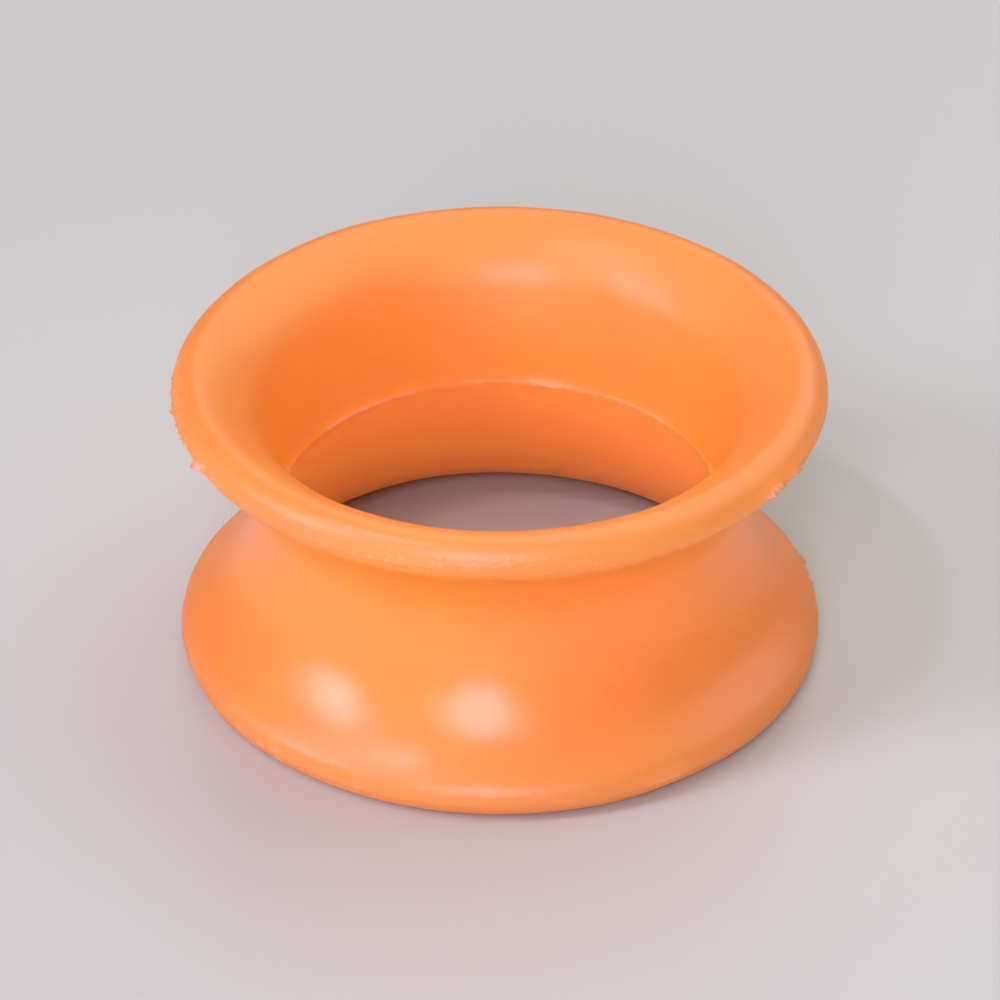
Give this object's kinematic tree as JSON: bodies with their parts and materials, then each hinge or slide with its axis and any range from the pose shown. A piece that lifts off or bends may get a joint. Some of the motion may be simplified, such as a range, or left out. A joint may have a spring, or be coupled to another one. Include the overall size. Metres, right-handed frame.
{
  "type": "ear tunnel",
  "caption": "Soft silicone ear tunnel: a short hollow waist that flares at both ends into rounded lips, lying on one rim.",
  "frame": {"origin": "middle of the circle on which the lower rim rests, on the tunnel's axis", "axes": "+Z along the bore, up through the upper rim; X and Y are any two directions across it, since it is round"},
  "size_m": [0.0266, 0.0266, 0.0132],
  "materials": {
    "silicone": "bright orange moulded silicone, slightly translucent, satin gloss with soft broad highlights"
  },
  "bodies": {
    "root": {"tunnel": "silicone"}
  },
  "joints": []
}
